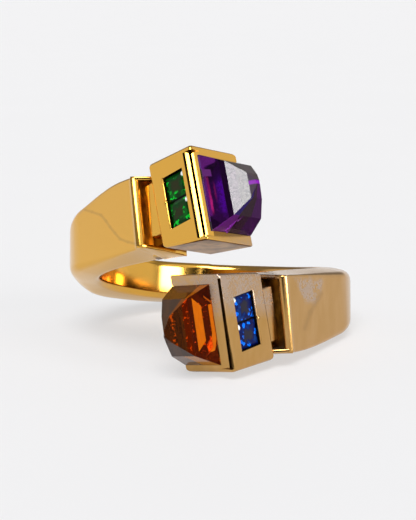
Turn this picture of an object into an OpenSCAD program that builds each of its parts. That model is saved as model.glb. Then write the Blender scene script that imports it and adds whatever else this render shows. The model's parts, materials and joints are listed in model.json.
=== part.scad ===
// Bypass wrap ring: two arms cross in front of the finger, each ends in a
// leaning square head with a tall step-cut stone and a window of two squares.
// The ring's own frame: the finger axis is Z, X points right, Y to the back.
// The second arm is the first one turned 180 degrees about Y.
// The whole ring is then laid on its side, as it lies by itself.

/* [Finger hole] */
// radius of the finger hole
hole_r = 8.5; // [7:0.1:11]
// outer radius of the plain back of the band
back_r = 10.87; // [9.8:0.01:12]

/* [Arm] */
// angle from the back of the ring at which the arm ends at the groove
arm_end = 157.4; // [145:0.1:160]
// lean of the arm's end to its own side
end_lean = 12.4; // [0:0.1:15]
// angle from the back at which the thin inner strip comes to its point
strip_end = 169; // [160:1:172]
// radius of the tight bend at the side of the arm
bend_r = 7.47; // [3:0.01:8]
// angle that the flat outer face looks to, measured from the back
flat_angle = 122; // [100:0.2:130]
// distance of that flat face from the finger axis
flat_r = 10.3; // [9.3:0.01:11]
// outer radius of the thin strip at the groove
strip_r = 10.2; // [9.2:0.1:11]
// how far the strip's ends stay below the arm's upper and lower sides
strip_step = 0.12; // [0:0.02:0.6]

/* [Neck] */
// thickness of the two thin walls that close the groove's ends
wall = 0.28; // [0.15:0.01:0.6]
// width of the neck's plate beside the head
neck_w = 0.72; // [0.3:0.02:1.2]
// drop of the neck's plate below the window face
neck_drop = 0.14; // [0:0.02:0.6]
// height above the head's lower end at which the neck's plate begins
neck_low = 2.2; // [1:0.05:3]
// height above the head's lower end at which the neck's plate ends
neck_high = 6.15; // [5:0.05:7]
// depth of the groove's floor below the window face
floor_drop = 1.05; // [0.4:0.05:1.6]

/* [Head] */
// place of the head's lower front corner
head_at = [-0.37, -15.54, 1.18];
// lean of the head to the back
lean_back = 15.6; // [0:0.1:25]
// lean of the head to its own arm's side
lean_side = 9.7; // [0:0.1:20]
// plan of the head: left corner
head_left = [-3.07, 2.83];
// plan of the head: back corner
head_back = [0.1, 6.4];
// plan of the head: right corner
head_right = [3.25, 3.69];
// length of the front edge
head_h = 7.05; // [5:0.05:9]
// slope of the lower face to the back
under_slope = -4.5; // [-10:0.1:10]
// slope of the lower face to the side
under_side = 2; // [-10:0.1:10]
// slope of the upper face to the back
upper_slope = -10.1; // [-20:0.1:10]
// slope of the upper face to the side
upper_side = 9.4; // [-5:0.1:15]
// thickness of the lower cheek at the front edge
cheek_low = 0.70; // [0.4:0.01:1]
// thickness of the upper cheek at the front edge
cheek_high = 0.55; // [0.4:0.01:1]
// rise of the cheeks' inner sides for each millimetre from the front edge
cheek_rise = 0.075; // [0:0.005:0.2]
// round of the upper cheek's end
cheek_round = 0.8; // [0.2:0.05:1.2]
// width of the metal between the front edge and the stone
bar_w = 0.65; // [0.4:0.01:1.5]
// radius of the fine flute beside the front edge
flute_r = 0.22; // [0.05:0.01:0.3]
// distance of the flute from the front edge
flute_x = 0.33; // [0.2:0.01:0.8]

/* [Window] */
// distance of the window from the front edge
win_x = 1.12; // [0.6:0.02:1.6]
// distance of the window from the head's lower end
win_z = 1.96; // [1:0.02:2.5]
// side of one square stone's seat
square_w = 1.96; // [1.5:0.02:2.4]
// depth of the window
win_depth = 1.15; // [1.1:0.05:2]

/* [Stones] */
// gap between a stone and its seat
gap = 0.03; // [0.01:0.01:0.1]
// depth of the tall stone below that face
stone_depth = 2.2; // [0.5:0.1:2.4]

/* [Lying] */
// turn about X that lays the ring on its side
rest_x = -15.76; // [-40:0.01:40]
// turn about Y that lays the ring on its side
rest_y = 2.11; // [-40:0.01:40]
// lift that brings the lowest point to the floor
rest_lift = 4.565; // [-20:0.005:20]
// shift that brings the middle of the ring over the origin
rest_shift = [0, 2.45]; // [-10:0.01:10]

/* [Hidden] */
$fn = 64;
far = 30;

gold = [0.85, 0.65, 0.30];
violet = [0.35, 0.08, 0.50];
orange = [0.80, 0.35, 0.05];
green = [0.05, 0.45, 0.15];
blue = [0.05, 0.12, 0.55];

// angle on plan of the two front faces of the head
face_left = atan2(head_left[1], head_left[0]);
face_right = atan2(head_right[1], head_right[0]);
// length of the open face from the front edge to the right corner
open_w = norm(head_right);
// length of the window face from the front edge to the left corner
left_w = norm(head_left);
// angle at which the leaning end meets the arm's upper side
high_end = arm_end - 4.9;

// the arm's lower and upper sides, from the back of the ring to the groove
ANGLE = 0;
IN_LOW = 1;
OUT_LOW = 2;
HIGH = 3;
sides = [
    // angle, inner lower edge, outer lower edge, upper side
    [0, -1.55, -1.60, 1.60],
    [30, -1.30, -1.57, 1.75],
    [60, -0.95, -1.15, 2.45],
    [75, -0.80, -0.38, 3.10],
    [90, -0.62, 0.05, 3.82],
    [105, -0.45, 0.27, 4.36],
    [128, -0.12, 0.61, 5.36],
    [143, 0.15, 0.86, 5.86],
    [156, 0.45, 1.08, 6.15],
    [169, 0.72, 1.18, 6.25]
];

// steps of the tall stone, from its foot up to its table
UP = 0;
FROM_BAR = 1;
FROM_END = 2;
FROM_LOW = 3;
FROM_HIGH = 4;
tall_steps = [
    // height, inset from the bar, from the far end, from below, from above
    [-2.20, 1.90, 1.90, 2.55, 2.55],
    [-1.75, 1.35, 1.35, 1.85, 1.85],
    [-1.10, 0.72, 0.72, 0.95, 0.95],
    [-0.30, 0.00, 0.00, 0.00, 0.00],
    [0.05, 0.00, 0.00, 0.00, 0.00],
    [1.80, 0.46, 0.75, 0.50, 1.15],
    [2.85, 1.35, 1.60, 1.45, 2.40],
    [3.20, 1.75, 1.95, 2.35, 3.00]
];

// steps of a square stone
INSET = 1;
square_steps = [
    // height, inset on all sides
    [-0.90, 0.85],
    [-0.55, 0.45],
    [-0.20, 0.00],
    [-0.10, 0.00],
    [0.00, 0.28]
];

// value of a table column at an angle, on straight lines between its rows
function column(t, a, c, i = 0) =
    a <= t[i + 1][ANGLE] || i == len(t) - 2
        ? t[i][c] + (t[i + 1][c] - t[i][c])
            * (a - t[i][ANGLE]) / (t[i + 1][ANGLE] - t[i][ANGLE])
        : column(t, a, c, i + 1);

// eased value: the mean of the column over a few degrees each side
function eased(a, c) =
    a < 8 ? column(sides, a, c)
        : (column(sides, a - 6, c) + column(sides, a, c)
            + column(sides, a + 6, c)) / 3;

// outer radius of the arm at an angle from the back
bend_at = [-(back_r - bend_r), 0];
function bend_reach(a) =
    let (m = (back_r - bend_r) * sin(a))
    m + sqrt(m * m - pow(back_r - bend_r, 2) + bend_r * bend_r);
function outer_r(a) =
    a <= 90 ? back_r
        : a < 112 ? min(bend_reach(a), flat_r / cos(a - flat_angle))
        : flat_r / cos(a - flat_angle);

// one section of the arm: inner low, outer low, outer high, inner high
function arm_section(a) =
    let (
        ro = outer_r(a),
        ri = hole_r - 0.4,
        zt = eased(a, HIGH)
    )
    [[ri, eased(a, IN_LOW)], [ro, eased(a, OUT_LOW)], [ro, zt], [ri, zt]];

// height of the arm's lower side at an angle and a radius
function low_at(a, r) =
    eased(a, IN_LOW) + (eased(a, OUT_LOW) - eased(a, IN_LOW))
        * (r - hole_r) / (outer_r(min(a, arm_end)) - hole_r);

// one section of the strip that runs from the groove to a point
function strip_section(a) =
    let (
        t = (a - arm_end) / (strip_end - arm_end),
        ro = strip_r + (hole_r + 0.1 - strip_r) * t,
        ri = hole_r - 0.4,
        zt = eased(a, HIGH) - strip_step
    )
    [[ri, eased(a, IN_LOW) + 0.1], [ro, low_at(a, ro) + 0.1], [ro, zt], [ri, zt]];

// the groove's lower wall, from the arm's full depth to the strip's point
function low_wall_section(a) =
    let (
        t = max(0, (a - arm_end) / (strip_end - arm_end)),
        full = outer_r(min(a, arm_end)) - 0.06,
        ro = full + (hole_r + 0.1 - full) * t,
        ri = hole_r - 0.4,
        low = low_at(a, ro) - 0.02 * t
    )
    [[ri, eased(a, IN_LOW)], [ro, low], [ro, low + wall], [ri, low + wall]];

// the groove's upper wall, which ends inside the head
function high_wall_section(a) =
    let (
        ro = outer_r(high_end) - 0.06 - 0.12 * (a - high_end),
        ri = hole_r - 0.4,
        zt = eased(a, HIGH) - 0.04
    )
    [[ri, zt - wall], [ro, zt - wall], [ro, zt], [ri, zt]];

// a section's point in the ring's frame
function placed(p, a) = [-p[0] * sin(a), p[0] * cos(a), p[1]];

// closed skin over sections of four points each
module skin(sections) {
    n = len(sections);
    points = [for (s = sections) for (p = s) p];
    sides = [
        for (i = [0:n - 2]) for (k = [0:3])
            each [
                [i * 4 + k, i * 4 + (k + 1) % 4, (i + 1) * 4 + (k + 1) % 4],
                [i * 4 + k, (i + 1) * 4 + (k + 1) % 4, (i + 1) * 4 + k]
            ]
    ];
    ends = [[3, 2, 1, 0], [for (k = [0:3]) (n - 1) * 4 + k]];
    polyhedron(points, concat(sides, ends));
}

module arm() {
    angles = [for (i = [0:44]) (arm_end + 8) * i / 44];
    difference() {
        skin([for (a = angles) [for (p = arm_section(a)) placed(p, a)]]);
        at_groove() translate([0, -far / 2, -far / 2]) cube(far);
    }
}

// Z runs along the arm's end edge and Y from it to the finger
module at_groove() {
    r = outer_r(arm_end);
    translate([-r * sin(arm_end), r * cos(arm_end), eased(arm_end, OUT_LOW)])
        rotate([0, -end_lean, 0]) rotate([0, 0, arm_end - 180]) children();
}

module strip() {
    angles = [for (i = [-1:5]) arm_end + (strip_end - arm_end) * i / 5];
    skin([for (a = angles) [for (p = strip_section(a)) placed(p, a)]]);
}

// the first one and its twin, turned 180 degrees about Y
module both() {
    children();
    rotate([0, 180, 0]) children();
}

// puts a shape made on the head's front edge into the ring
module on_head() {
    translate(head_at) rotate([-lean_back, -lean_side, 0]) children();
}

// X runs along the left face from the front edge, Y looks out of it
module on_left_face() {
    on_head() rotate([0, 0, face_left]) children();
}

// X runs along the open face from the front edge, Y looks into the head
module on_open_face() {
    on_head() rotate([0, 0, face_right]) children();
}

module head_block() {
    intersection() {
        on_head() translate([0, 0, -4]) linear_extrude(16)
            polygon([[0, 0], head_right, head_back, head_left]);
        translate(head_at) rotate([under_slope, -under_side, 0])
            translate([-far / 2, -far / 2, 0]) cube(far);
        on_head() translate([0, 0, head_h])
            rotate([lean_back + upper_slope, lean_side - upper_side, 0])
            translate([-far / 2, -far / 2, -far]) cube(far);
        on_open_face() cheek_outline();
    }
}

// outline of the open face with its rounded upper far corner
module cheek_outline() {
    r = cheek_round;
    w = open_w + 0.02;
    top = head_h + 0.1;
    translate([0, 9, 0]) rotate([90, 0, 0]) linear_extrude(20) union() {
        translate([-9, -6]) square([9 + w, 6 + top - r]);
        translate([-9, -6]) square([9 + w - r, 12 + top]);
        translate([w - r, top - r]) circle(r);
    }
}

// the two thin walls that close the groove below and above
module groove_walls() {
    low = [for (i = [-2:5]) arm_end + (strip_end - arm_end) * i / 5];
    high = [for (i = [-1:6]) high_end + i];
    skin([for (a = low) [for (p = low_wall_section(a)) placed(p, a)]]);
    skin([for (a = high) [for (p = high_wall_section(a)) placed(p, a)]]);
}

// the plate beside the head and the floor of the groove behind it
module neck() {
    h = neck_high - neck_low;
    on_left_face() translate([left_w - 0.4, -3, neck_low])
        cube([neck_w + 0.4, 3 - neck_drop, h]);
    intersection() {
        angles = [for (i = [0:10]) arm_end - 8 + 2 * i];
        skin([for (a = angles) [for (p = arm_section(a)) placed(p, a)]]);
        on_left_face() translate([left_w - 0.4, -4, neck_low - 0.5])
            cube([3, 4 - floor_drop, h + 0.9]);
    }
}

// seat of the tall stone, open to the front and at the far end
module tall_seat() {
    w = open_w + 2;
    on_open_face() translate([0, stone_depth + 0.1, 0]) rotate([90, 0, 0])
        linear_extrude(far / 2) polygon([
            [bar_w, cheek_low + cheek_rise * bar_w],
            [w, cheek_low + cheek_rise * w],
            [w, head_h - cheek_high + cheek_rise * w],
            [bar_w, head_h - cheek_high + cheek_rise * bar_w]
        ]);
}

module window() {
    on_left_face() translate([win_x, -win_depth, win_z])
        cube([square_w, win_depth + 1, 2 * square_w]);
}

module flute() {
    h = head_h - 1.3;
    on_left_face() translate([flute_x, 0.05, 0.7]) union() {
        cylinder(r = flute_r, h = h);
        sphere(flute_r);
        translate([0, 0, h]) sphere(flute_r);
    }
}

module gold_body() {
    color(gold) difference() {
        both() difference() {
            union() {
                arm();
                strip();
                neck();
                groove_walls();
                head_block();
            }
            tall_seat();
            window();
            flute();
        }
        translate([0, 0, -far / 2]) cylinder(r = hole_r, h = far, $fn = 180);
    }
}

// a stack of rectangles, each row a step: height and four insets
module stepped(rows, w, h, rise = 0) {
    function corner(x, y, z) = [x, y + rise * x, z];
    skin([for (s = rows) [
        corner(s[FROM_BAR], h - s[FROM_HIGH], s[UP]),
        corner(w - s[FROM_END], h - s[FROM_HIGH], s[UP]),
        corner(w - s[FROM_END], s[FROM_LOW], s[UP]),
        corner(s[FROM_BAR], s[FROM_LOW], s[UP])
    ]]);
}

module tall_stone() {
    w = open_w - bar_w - 0.15;
    h = head_h - cheek_low - cheek_high - 2 * gap;
    on_open_face() translate([bar_w + gap, 0, cheek_low + gap + cheek_rise * bar_w])
        rotate([90, 0, 0]) stepped(tall_steps, w, h, cheek_rise);
}

module square_stone(row) {
    w = square_w - 2 * gap;
    on_left_face() translate([win_x + gap, -0.12, win_z + gap + row * square_w])
        rotate([90, 0, 0]) mirror([0, 0, 1])
        stepped([for (s = square_steps) [s[0], s[1], s[1], s[1], s[1]]], w, w);
}

// the ring laid on its side
module lying() {
    translate([rest_shift[0], rest_shift[1], rest_lift])
        rotate([rest_x, rest_y, 0]) children();
}

module amethyst() {
    color(violet) tall_stone();
}

module citrine() {
    color(orange) rotate([0, 180, 0]) tall_stone();
}

module upper_green() {
    color(green) square_stone(1);
}

module lower_green() {
    color(green) square_stone(0);
}

module upper_blue() {
    color(blue) rotate([0, 180, 0]) square_stone(0);
}

module lower_blue() {
    color(blue) rotate([0, 180, 0]) square_stone(1);
}

lying() gold_body();
lying() amethyst();
lying() citrine();
lying() upper_green();
lying() lower_green();
lying() upper_blue();
lying() lower_blue();
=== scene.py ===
# %% [markdown]
# # A wrap ring in Blender
# The ring is one piece of gold whose two arms pass each other in front of the
# finger. Each arm ends in a leaning square head. A head holds one tall step-cut
# stone on its open side and a window with two square stones on its other side.
# The second arm is the first one turned half round about the line from front
# to back, so most forms are made once and turned to get their twins. Where the
# photograph shows that two twins differ, each is made from its own numbers.
#
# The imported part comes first, because every piece is laid over one of its solids.

import json
import math

import bmesh
import bpy
import numpy as np
from mathutils import Matrix, Vector
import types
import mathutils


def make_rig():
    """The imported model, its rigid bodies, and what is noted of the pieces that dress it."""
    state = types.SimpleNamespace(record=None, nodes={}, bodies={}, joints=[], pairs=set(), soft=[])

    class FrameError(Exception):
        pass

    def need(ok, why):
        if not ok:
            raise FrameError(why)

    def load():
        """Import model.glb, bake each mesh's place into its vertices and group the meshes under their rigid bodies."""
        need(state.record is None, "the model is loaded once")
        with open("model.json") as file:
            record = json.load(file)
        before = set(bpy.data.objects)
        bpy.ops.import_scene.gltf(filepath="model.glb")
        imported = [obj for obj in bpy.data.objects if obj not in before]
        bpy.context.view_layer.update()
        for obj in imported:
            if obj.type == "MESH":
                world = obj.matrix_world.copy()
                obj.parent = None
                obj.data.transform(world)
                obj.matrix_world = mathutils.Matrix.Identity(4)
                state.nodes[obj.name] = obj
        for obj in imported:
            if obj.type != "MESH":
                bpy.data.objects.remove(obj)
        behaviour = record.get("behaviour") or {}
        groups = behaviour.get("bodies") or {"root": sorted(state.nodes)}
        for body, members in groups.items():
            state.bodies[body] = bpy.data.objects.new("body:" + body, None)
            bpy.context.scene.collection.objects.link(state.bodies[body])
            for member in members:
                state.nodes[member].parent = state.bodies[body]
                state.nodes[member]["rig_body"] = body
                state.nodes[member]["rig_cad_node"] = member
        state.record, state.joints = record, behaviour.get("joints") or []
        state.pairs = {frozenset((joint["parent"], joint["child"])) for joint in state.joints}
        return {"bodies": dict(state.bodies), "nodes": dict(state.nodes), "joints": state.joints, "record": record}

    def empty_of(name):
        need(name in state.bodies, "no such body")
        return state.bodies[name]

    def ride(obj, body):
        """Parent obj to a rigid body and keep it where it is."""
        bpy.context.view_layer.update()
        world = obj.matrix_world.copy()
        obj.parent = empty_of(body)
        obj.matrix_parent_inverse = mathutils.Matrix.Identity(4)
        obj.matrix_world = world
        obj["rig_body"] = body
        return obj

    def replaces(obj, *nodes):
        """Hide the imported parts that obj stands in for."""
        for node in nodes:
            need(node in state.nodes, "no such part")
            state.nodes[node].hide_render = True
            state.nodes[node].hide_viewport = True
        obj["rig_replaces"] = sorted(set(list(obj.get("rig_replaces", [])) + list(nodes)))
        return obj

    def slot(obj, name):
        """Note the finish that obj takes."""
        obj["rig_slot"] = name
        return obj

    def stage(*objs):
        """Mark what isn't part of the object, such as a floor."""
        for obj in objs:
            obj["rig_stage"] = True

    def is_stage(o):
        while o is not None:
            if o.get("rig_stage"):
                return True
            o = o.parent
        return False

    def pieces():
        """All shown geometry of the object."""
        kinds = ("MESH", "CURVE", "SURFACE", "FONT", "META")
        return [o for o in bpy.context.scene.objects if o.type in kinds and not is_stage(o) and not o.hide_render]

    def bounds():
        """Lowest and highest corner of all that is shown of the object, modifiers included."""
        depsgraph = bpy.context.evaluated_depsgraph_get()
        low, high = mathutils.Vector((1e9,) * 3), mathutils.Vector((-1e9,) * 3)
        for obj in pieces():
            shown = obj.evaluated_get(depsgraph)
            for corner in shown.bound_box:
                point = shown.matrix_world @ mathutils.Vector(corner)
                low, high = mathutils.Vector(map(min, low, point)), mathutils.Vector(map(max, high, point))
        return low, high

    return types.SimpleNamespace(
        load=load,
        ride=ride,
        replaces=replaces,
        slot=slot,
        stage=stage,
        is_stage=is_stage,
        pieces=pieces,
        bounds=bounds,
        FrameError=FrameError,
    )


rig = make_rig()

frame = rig.load()
cad_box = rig.bounds()
print("nodes:", sorted(frame["nodes"]))

# %% [markdown]
# ## Two frames
# A ring is easiest to draw with the finger upright: Z runs through the finger
# hole, X to the right and Y to the back, in millimetres. On the table it lies on
# its side. The pieces could be drawn lying down, but then none of their numbers
# would be plain, so one matrix lays every finished mesh down and turns it to metres.

# %% from the ring's own frame to the table
REST_X, REST_Y = -15.76, 2.11          # degrees
LIFT, BACK = 4.565, 2.45               # millimetres
MM = 0.001

laid = (
    Matrix.Scale(MM, 4)
    @ Matrix.Translation((0, BACK, LIFT))
    @ Matrix.Rotation(math.radians(REST_Y), 4, "Y")
    @ Matrix.Rotation(math.radians(REST_X), 4, "X")
)
half_turn = Matrix.Rotation(math.pi, 4, "Y")
print("finger hole centre:", [round(c, 5) for c in laid.translation])


# %% [markdown]
# ## The camera
# The photograph looks a little up into the ring's own plane, which is how a
# camera only some ten degrees above the table sees a ring that lies on its side
# with its heads raised. A camera could be placed by eye. Here it was fitted to
# points that the two arms share, so its place is worked out in the ring's frame
# and then laid down with it.

# %% the camera
CAM_TURN, CAM_RISE = -0.444, -5.036                    # degrees
CAM_FAR = 124.2                                        # millimetres from the ring's middle
CAM_PX = 1600.0                                        # focal length in pixels of the photograph
CAM_SHIFT = (1.994, 14.331)                            # where the ring's middle lies, in pixels
PHOTO = (416, 520)


def camera_matrix():
    """The camera's place and turn in the ring's frame."""
    turn = Matrix.Rotation(math.radians(-CAM_TURN), 3, "Z")
    rise = Matrix.Rotation(math.radians(CAM_RISE), 3, "X")
    to_camera = rise @ turn
    right, ahead, up = to_camera.row[0], to_camera.row[1], to_camera.row[2]
    mm_px = CAM_FAR / CAM_PX
    place = -CAM_SHIFT[0] * mm_px * right + CAM_SHIFT[1] * mm_px * up - CAM_FAR * ahead
    m = Matrix.Identity(4)
    for r in range(3):
        m[r][0], m[r][1], m[r][2], m[r][3] = right[r], up[r], -ahead[r], place[r]
    return m


cam_data = bpy.data.cameras.new("camera")
cam_data.lens = CAM_PX / max(PHOTO) * cam_data.sensor_width
cam_data.clip_start, cam_data.clip_end = 0.005, 20.0
camera = bpy.data.objects.new("camera", cam_data)
bpy.context.scene.collection.objects.link(camera)
standing = camera_matrix()
turned = laid.to_3x3().normalized() @ standing.to_3x3()
camera.matrix_world = Matrix.Translation(laid @ standing.translation) @ turned.to_4x4()
bpy.context.scene.camera = camera
print("camera height above the table, mm:", round(camera.location.z / MM, 1))


# %% [markdown]
# ## The arm's table
# The arm grows from a plain band at the back to a tall flat face at the front.
# It could be carved out of a block, but its edges rise in long even curves, and
# a swept section follows those better. A short table gives the lower and upper
# sides at a few angles from the back of the ring, and a running mean through
# the rows gives the rest. The second arm has its own outer edges.

# %% sizes of the band and arms
HOLE_R = 8.5
BACK_R = 10.87
BEND_R = 7.47                          # of the tight bend at the ring's side
FLAT_ANGLE, FLAT_R = 122.0, 10.3       # the flat face: where it is nearest the finger, and how near
FLAT_FROM = 112                        # past this angle the flat face alone is followed
ARM_END = 158.0
STRIP_END, STRIP_R = 168.1, 10.2
SMOOTH = 9                             # degrees that the running mean reaches to each side

SIDE_ROWS = np.array([
    # angle, inner lower edge, outer lower edge, upper side; the last two for the other arm
    (0, -1.55, -1.60, 1.60, -1.60, 1.60),
    (30, -1.30, -1.57, 1.75, -1.34, 1.75),
    (50, -1.07, -1.43, 2.21, -1.06, 2.21),
    (60, -0.95, -1.40, 2.45, -1.00, 2.45),
    (70, -0.85, -1.15, 2.88, -0.92, 2.95),
    (75, -0.80, -0.83, 3.10, -0.74, 3.20),
    (90, -0.62, -0.33, 3.84, -0.33, 4.02),
    (105, -0.45, 0.09, 4.50, 0.09, 4.66),
    (115, -0.31, 0.25, 4.99, 0.25, 5.15),
    (128, -0.12, 0.44, 5.60, 0.44, 5.66),
    (143, 0.15, 0.69, 6.13, 0.69, 6.23),
    (150, 0.29, 0.83, 6.15, 0.83, 6.40),
    (156, 0.45, 0.95, 6.19, 0.95, 6.50),
    (169, 0.72, 1.10, 6.29, 1.10, 6.56),
])
IN_LOW, OUT_LOW, HIGH, OUT_LOW_OTHER, HIGH_OTHER = 1, 2, 3, 4, 5


def side_at(angle, column):
    """The table's value at an angle: a running mean over the straight lines."""
    spread = np.linspace(-SMOOTH, SMOOTH, 13) * min(1.0, angle / 12.0)
    return float(np.interp(angle + spread, SIDE_ROWS[:, 0], SIDE_ROWS[:, column]).mean())


def arm_reach(angle):
    """Outer radius: a round back, a tight bend at the side, then a flat face."""
    if angle <= 90:
        return BACK_R
    flat = FLAT_R / math.cos(math.radians(angle - FLAT_ANGLE))
    if angle > FLAT_FROM:
        return flat
    m = (BACK_R - BEND_R) * math.sin(math.radians(angle))
    bend = m + math.sqrt(m * m - (BACK_R - BEND_R) ** 2 + BEND_R ** 2)
    return min(bend, flat)


print("reach at the side and at the groove:", arm_reach(90), round(arm_reach(ARM_END), 2))


# %% [markdown]
# ## A section with soft corners
# A polished gold edge is never sharp. A Bevel modifier would round every edge
# alike, but on this band the round changes along the way. So each section is an
# outline whose corners are replaced by short curves of their own size, and
# neighbouring sections are joined by a skin of quads.

# %% sections and skins
def soft_outline(corners, radii, steps=5):
    """The outline with each corner replaced by a short curve."""
    pts = []
    n = len(corners)
    for i in range(n):
        p = np.array(corners[i], float)
        a = np.array(corners[i - 1], float) - p
        b = np.array(corners[(i + 1) % n], float) - p
        la, lb = np.linalg.norm(a), np.linalg.norm(b)
        r = min(radii[i], 0.45 * la, 0.45 * lb)
        p0, p2 = p + a / la * r, p + b / lb * r
        for k in range(steps + 1):
            t = k / steps
            pts.append((1 - t) ** 2 * p0 + 2 * t * (1 - t) * p + t * t * p2)
    return np.array(pts)


def mesh_object(name, bm):
    """An object in the scene, its faces turned to point outwards."""
    bmesh.ops.recalc_face_normals(bm, faces=bm.faces)
    mesh = bpy.data.meshes.new(name)
    bm.to_mesh(mesh)
    bm.free()
    obj = bpy.data.objects.new(name, mesh)
    bpy.context.scene.collection.objects.link(obj)
    return obj


def skin_mesh(name, rings):
    """Quads between closed rings of points, and a face over each end."""
    count = len(rings[0])
    bm = bmesh.new()
    made = [[bm.verts.new(p) for p in ring] for ring in rings]
    for lower, upper in zip(made, made[1:]):
        for k in range(count):
            m = (k + 1) % count
            bm.faces.new((lower[k], lower[m], upper[m], upper[k]))
    bm.faces.new(list(reversed(made[0])))
    bm.faces.new(made[-1])
    return mesh_object(name, bm)


def polar(r, z, angle):
    """A point at an angle from the back of the ring, towards the first arm."""
    a = math.radians(angle)
    return (-r * math.sin(a), r * math.cos(a), z)


print("points round a soft square:", len(soft_outline([(0, 0), (1, 0), (1, 1), (0, 1)], [0.1] * 4)))

# %% [markdown]
# ## Band and arms
# The band and both arms are one sweep from one groove, round the back of the
# ring, to the other groove. Two halves could be joined at the back, but one
# sweep leaves no seam in the polish. The end of each arm leans with its head and
# carries a fine rounded lip, which shows as the bright line beside the groove.

# %% corners of a section, and how soft they are
LIP, LIP_IN, LIP_SIDE = 0.48, 0.42, 0.14   # along the sweep, inwards, and at the two sides
LEAN_PER_MM = 0.80                     # degrees of sweep lost for each millimetre of height
END_R = 11.5                           # radius at which the lip's length is measured
INNER_SOFT, OUTER_SOFT = 0.5, 0.38
BEND_SOFT = [
    # how much softer at the bend, its angle, its width, how much sharper at the end
    (0.75, 80, 20, 0.22),              # lower corner
    (0.50, 85, 28, 0.16),              # upper corner
]


def corner_soft(angle, more, centre, width, less):
    """An outer corner's curve: long where the arm bends, short at its end."""
    blend = min(1.0, angle / 20.0)
    tight = float(np.interp(angle, (120, 145), (0, 1)))
    return OUTER_SOFT + (more * math.exp(-((angle - centre) / width) ** 2) - less * tight) * blend


def arm_corners(share, turn_back, inset, edges):
    """Four corners in the ring's frame; the upper two stand back as the end leans."""
    bottom, top = edges
    foot = side_at(ARM_END, OUT_LOW)
    a_low = share * ARM_END
    a_high = share * (ARM_END - LEAN_PER_MM * (side_at(ARM_END, HIGH) - foot))
    corners = []
    for angle, column, outer in ((a_low, IN_LOW, False), (a_low, bottom, True),
                                 (a_high, top, True), (a_high, top, False)):
        r = arm_reach(angle) - inset * LIP_IN if outer else HOLE_R
        z = side_at(angle, column) + (-inset if column == top else inset) * LIP_SIDE
        corners.append(polar(r, z, angle - turn_back))
    return corners


print("outer corners at the bend:", [round(corner_soft(85, *row), 2) for row in BEND_SOFT])

# %% [markdown]
# A section stands at a share of the way from the back of the ring to the groove.
# The last sections step inwards on a quarter circle, which makes the lip. The
# other arm's sections are turned half round and put in front of the first arm's.

# %% the sweep of the band and both arms
SWEEP_STEPS, LIP_STEPS = 90, 8


def arm_ring(share, edges, back_off=0.0, inset=0.0):
    """One section, a share of the way to the groove."""
    low_soft, top_soft = (corner_soft(share * ARM_END, *row) for row in BEND_SOFT)
    corners = arm_corners(share, math.degrees(back_off / END_R), inset, edges)
    return [tuple(p) for p in soft_outline(corners, [INNER_SOFT, low_soft, top_soft, INNER_SOFT])]


def twin_ring(ring):
    """The same section, turned half round about Y."""
    return [(-x, y, -z) for x, y, z in reversed(ring)]


def arm_rings(edges):
    """All sections of one arm, the lip's last."""
    rings = [arm_ring(k / SWEEP_STEPS, edges) for k in range(SWEEP_STEPS - 1)]
    rings.append(arm_ring(1.0, edges, back_off=LIP + 0.02))
    for k in range(LIP_STEPS + 1):
        t = math.radians(90 * k / LIP_STEPS)
        rings.append(arm_ring(1.0, edges, back_off=LIP * (1 - math.sin(t)), inset=1 - math.cos(t)))
    return rings


lower_rings = [twin_ring(r) for r in reversed(arm_rings((OUT_LOW_OTHER, HIGH_OTHER))[1:])]
all_rings = lower_rings + arm_rings((OUT_LOW, HIGH))
band = skin_mesh("band_and_arms", all_rings)
print("band and arms:", len(band.data.polygons), "faces")

# %% [markdown]
# ## Inner strip
# Under the groove and behind the head the inside of the band runs on as a thin
# strip that ends in a point. Seen from below it closes the finger hole. It could
# be part of the band's sweep, but the band's outline is much thicker there, so
# it is a sweep of its own whose depth shrinks to nothing.

# %% the strip of one arm
STRIP_DROP = 0.12                      # below the arm's upper side
POINT_R = HOLE_R + 0.1                 # where the strip and the groove's wall end


def swept(name, angles, section, soft, corner=1.0):
    """A sweep of four-sided sections: (inner, outer radius, lower, outer lower and upper side)."""
    rings = []
    for angle in angles:
        inner, outer, low, low_out, high = section(angle)
        r = min(soft, (outer - inner) * 0.4, (high - low) * 0.4)
        radii = [r, r * corner, r, r]
        outline = soft_outline([(inner, low), (outer, low_out), (outer, high), (inner, high)], radii, 3)
        rings.append([polar(rr, z, angle) for rr, z in outline])
    return skin_mesh(name, rings)


def slope_at(angle, r):
    """The arm's lower side at a radius."""
    t = (r - HOLE_R) / (arm_reach(min(angle, ARM_END)) - HOLE_R)
    return side_at(angle, IN_LOW) + (side_at(angle, OUT_LOW) - side_at(angle, IN_LOW)) * t


def past_end(angle):
    """0 up to the groove, 1 at the strip's point."""
    return max(0.0, (angle - ARM_END) / (STRIP_END - ARM_END))


def strip_section(angle):
    """The strip's section: full depth under the arm, none at its point."""
    outer = STRIP_R + (POINT_R - STRIP_R) * past_end(angle)
    return (HOLE_R, outer, side_at(angle, IN_LOW), slope_at(angle, outer),
            side_at(angle, HIGH) - STRIP_DROP)


strip = swept("inner_strip", np.linspace(ARM_END - 4, STRIP_END, 18), strip_section, 0.3)
print("strip:", len(strip.data.polygons), "faces")

# %% [markdown]
# ## The groove's walls
# Between the end of the arm and the head lies a narrow milled pocket. A cut in
# the sweep would break its rounded lip, so the pocket is left open between the
# pieces, and a thin wall closes it above and one below. The upper wall is made
# once for each arm, because the arms' upper sides differ.

# %% the pocket's two walls
WALL = 0.28
HIGH_END = ARM_END - 4.1               # where the leaning end meets the arm's upper side


def low_wall(angle):
    """From the arm's full depth to the strip's point."""
    t = past_end(angle)
    full = arm_reach(min(angle, ARM_END)) - 0.09
    outer = full + (POINT_R - full) * t
    low = slope_at(angle, outer) - 0.02 * t
    return HOLE_R, outer, side_at(angle, IN_LOW), low, low + WALL


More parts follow.
